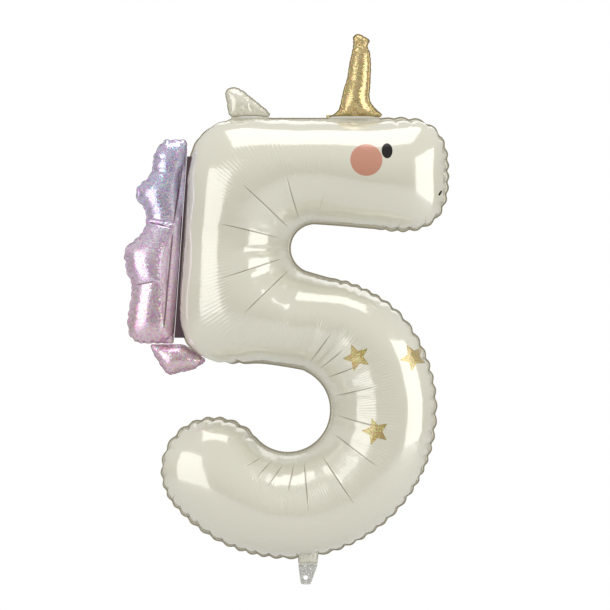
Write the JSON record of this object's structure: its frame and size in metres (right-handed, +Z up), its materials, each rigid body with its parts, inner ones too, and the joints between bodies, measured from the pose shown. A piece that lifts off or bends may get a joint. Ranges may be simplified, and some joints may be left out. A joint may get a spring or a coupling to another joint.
{
  "type": "foil balloon",
  "caption": "Inflated foil balloon in the shape of the numeral five with a unicorn's head: glitter mane with a hanging lock, horn, ear, flat valve in the tail and tie tab.",
  "frame": {"origin": "centre of the tie hole in the tail tab, on the weld plane between the two panels", "axes": "+X towards the muzzle, +Y out of the plain back panel, +Z up to the horn's tip"},
  "size_m": [0.564, 0.1784, 0.9615],
  "materials": {
    "cream_foil": "pearl-coated metallised film, high gloss, fine puckers at the welds",
    "mane_foil": "holographic glitter film that fades from lilac at the top to rose at the bottom",
    "gold_foil": "holographic gold glitter film",
    "valve_film": "thin milky film",
    "clear_film": "clear film with a silver sparkle"
  },
  "bodies": {
    "body": {"body_front_panel": "cream_foil", "body_back_panel": "cream_foil", "valve_front_film": "valve_film", "valve_back_film": "valve_film", "mane_root_strip": "cream_foil", "horn_root_strip": "cream_foil", "ear_root_strip": "cream_foil"},
    "mane": {"mane_front_panel": "mane_foil", "mane_back_panel": "mane_foil"},
    "mane_lock": {"mane_lock_front_panel": "mane_foil", "mane_lock_back_panel": "mane_foil"},
    "horn": {"horn_front_panel": "gold_foil", "horn_back_panel": "gold_foil"},
    "ear": {"ear_front_panel": "cream_foil", "ear_back_panel": "cream_foil"},
    "tab": {"tie_tab": "clear_film"}
  },
  "joints": [
    {"name": "mane_fold", "type": "hinge", "parent": "body", "child": "mane", "pos_m": [-0.21915, 0, 0.582], "axis": [0.0698, 0, 0.9976], "range_deg": [-25, 25], "stiffness_Nm_per_rad": 0.05},
    {"name": "lock_fold", "type": "hinge", "parent": "mane", "child": "mane_lock", "pos_m": [-0.23122, 0, 0.40965], "axis": [1, 0, 0], "range_deg": [-20, 20], "stiffness_Nm_per_rad": 0.01},
    {"name": "horn_fold", "type": "hinge", "parent": "body", "child": "horn", "pos_m": [0.086, 0, 0.8075], "axis": [1, 0, 0], "range_deg": [-20, 20], "stiffness_Nm_per_rad": 0.03},
    {"name": "ear_fold", "type": "hinge", "parent": "body", "child": "ear", "pos_m": [-0.1, 0, 0.8075], "axis": [1, 0, 0], "range_deg": [-25, 25], "stiffness_Nm_per_rad": 0.01},
    {"name": "tab_fold", "type": "hinge", "parent": "body", "child": "tab", "pos_m": [0.004, 0, 0.0233], "axis": [1, 0, 0], "range_deg": [-80, 80]}
  ]
}
